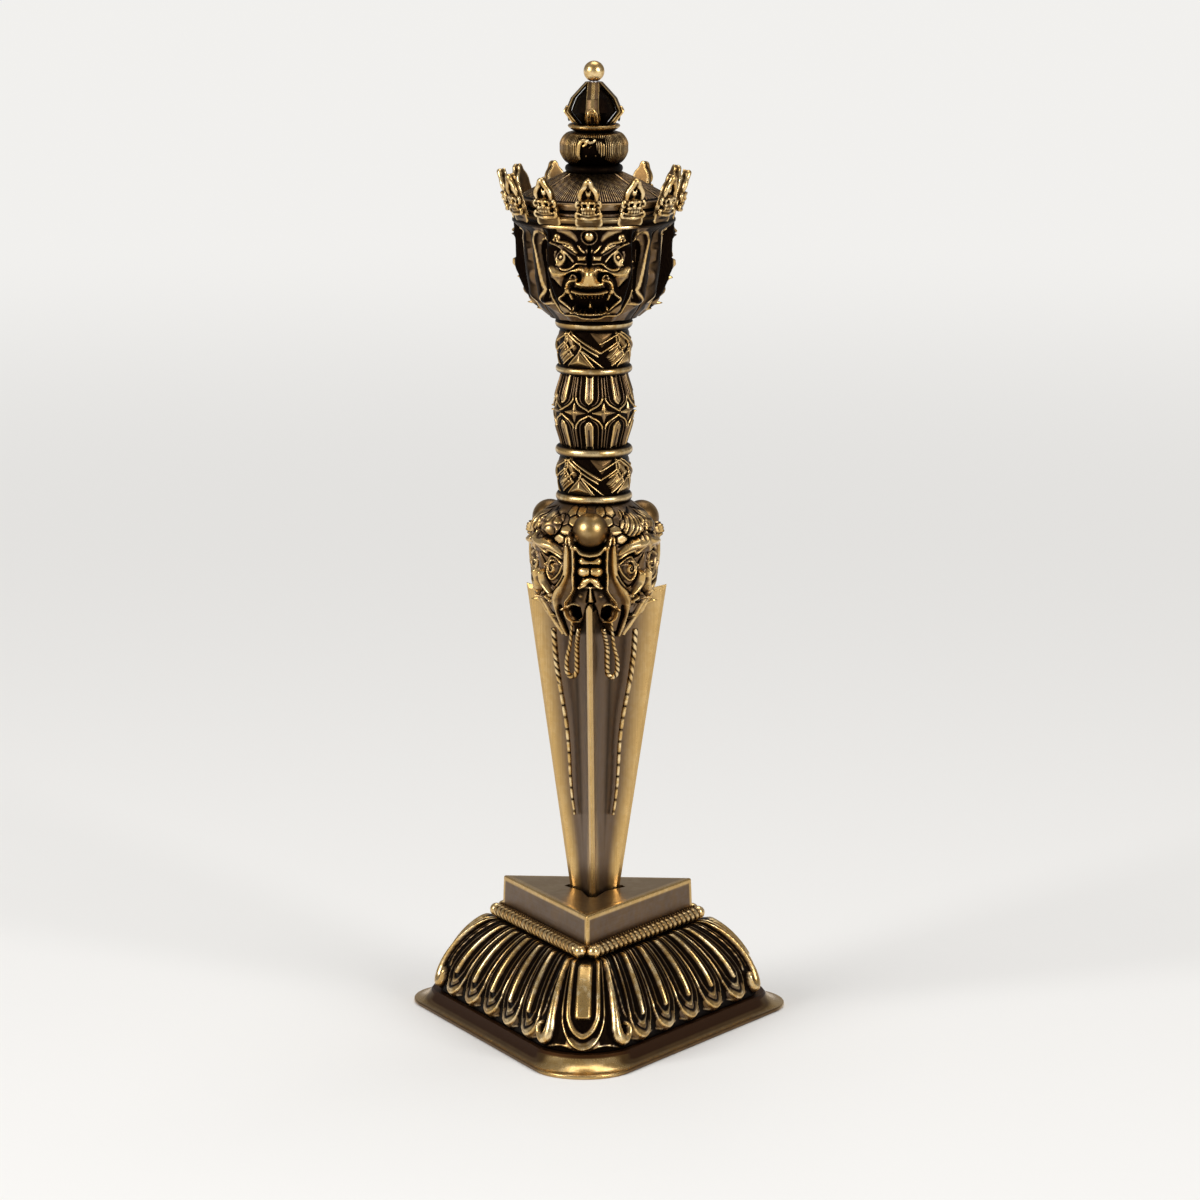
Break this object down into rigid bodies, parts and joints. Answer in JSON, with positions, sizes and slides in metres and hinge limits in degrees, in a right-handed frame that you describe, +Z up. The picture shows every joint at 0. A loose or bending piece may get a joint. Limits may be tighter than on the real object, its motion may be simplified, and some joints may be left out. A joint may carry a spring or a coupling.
{
  "type": "ritual dagger with stand",
  "caption": "Three-bladed ritual dagger with makara head, lotus grip, wrathful faces, skull crown and vajra finial, standing in a triangular lotus stand.",
  "frame": {"origin": "centre of the triangle on the underside of the stand's foot plate", "axes": "+Z up along the dagger's axis; -Y towards the stand's front corner and the front face"},
  "size_m": [0.092, 0.0831, 0.2354],
  "materials": {
    "plate_brass": "satin brass edge with a brown patina towards the skirt",
    "steel": "plain steel",
    "dark_brass": "cast brass blackened in the ground, rubbed bright on the relief",
    "antique_brass": "antiqued cast brass, near black in the recesses, rubbed on the high points",
    "polished_brass": "polished brass",
    "satin_brass": "brushed satin brass"
  },
  "bodies": {
    "stand": {"foot_plate": "plate_brass", "stand_screws": "steel", "tip_seat": "dark_brass", "lotus_skirt": "antique_brass", "rope_moulding": "polished_brass", "plinth_block": "satin_brass"},
    "dagger": {"blade": "satin_brass", "tie_rod": "steel", "makara_head": "antique_brass", "forehead_jewels": "polished_brass", "whisker_loops": "polished_brass", "side_strands": "polished_brass", "base_ring": "polished_brass", "lower_weave_band": "dark_brass", "lower_grip_ring": "polished_brass", "lotus_grip": "dark_brass", "upper_grip_ring": "polished_brass", "upper_weave_band": "dark_brass", "neck_ring": "polished_brass", "three_faced_head": "antique_brass", "skull_crown": "antique_brass", "hair_cap": "dark_brass", "topknot_ring": "polished_brass", "topknot": "dark_brass", "topknot_clasp": "polished_brass", "vajra_collar": "polished_brass", "vajra_core": "dark_brass", "vajra_prongs": "polished_brass", "finial_ball": "polished_brass"}
  },
  "joints": [
    {"name": "dagger_lift", "type": "slide", "parent": "stand", "child": "dagger", "axis": [0, 0, 1], "range_m": [0, 0.06]}
  ]
}
